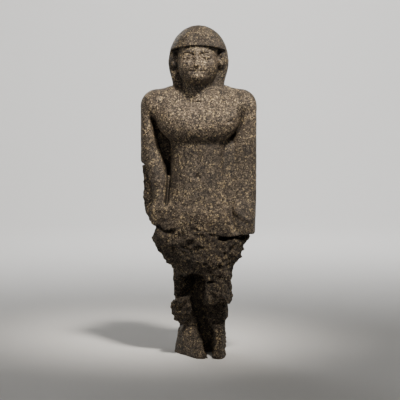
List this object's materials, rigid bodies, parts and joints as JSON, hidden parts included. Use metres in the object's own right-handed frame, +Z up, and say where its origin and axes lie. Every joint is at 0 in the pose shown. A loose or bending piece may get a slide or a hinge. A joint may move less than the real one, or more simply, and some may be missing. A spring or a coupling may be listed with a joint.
{
  "type": "egyptian noble statue",
  "caption": "Broken granite statue of a standing noble in a round wig, arms at the sides and a plain back pillar, carved from one stone.",
  "frame": {"origin": "middle of the bounding box, on the flat underside that the stone stands on", "axes": "+Z up along the figure, +X to the figure's left, -Y the way the figure faces"},
  "size_m": [0.353, 0.2092, 0.9998],
  "materials": {
    "granite": "weathered dark grey-brown granite with cream and tan crystals, dull where it was smoothed and rough on the breaks"
  },
  "bodies": {
    "root": {"statue": "granite"}
  },
  "joints": []
}
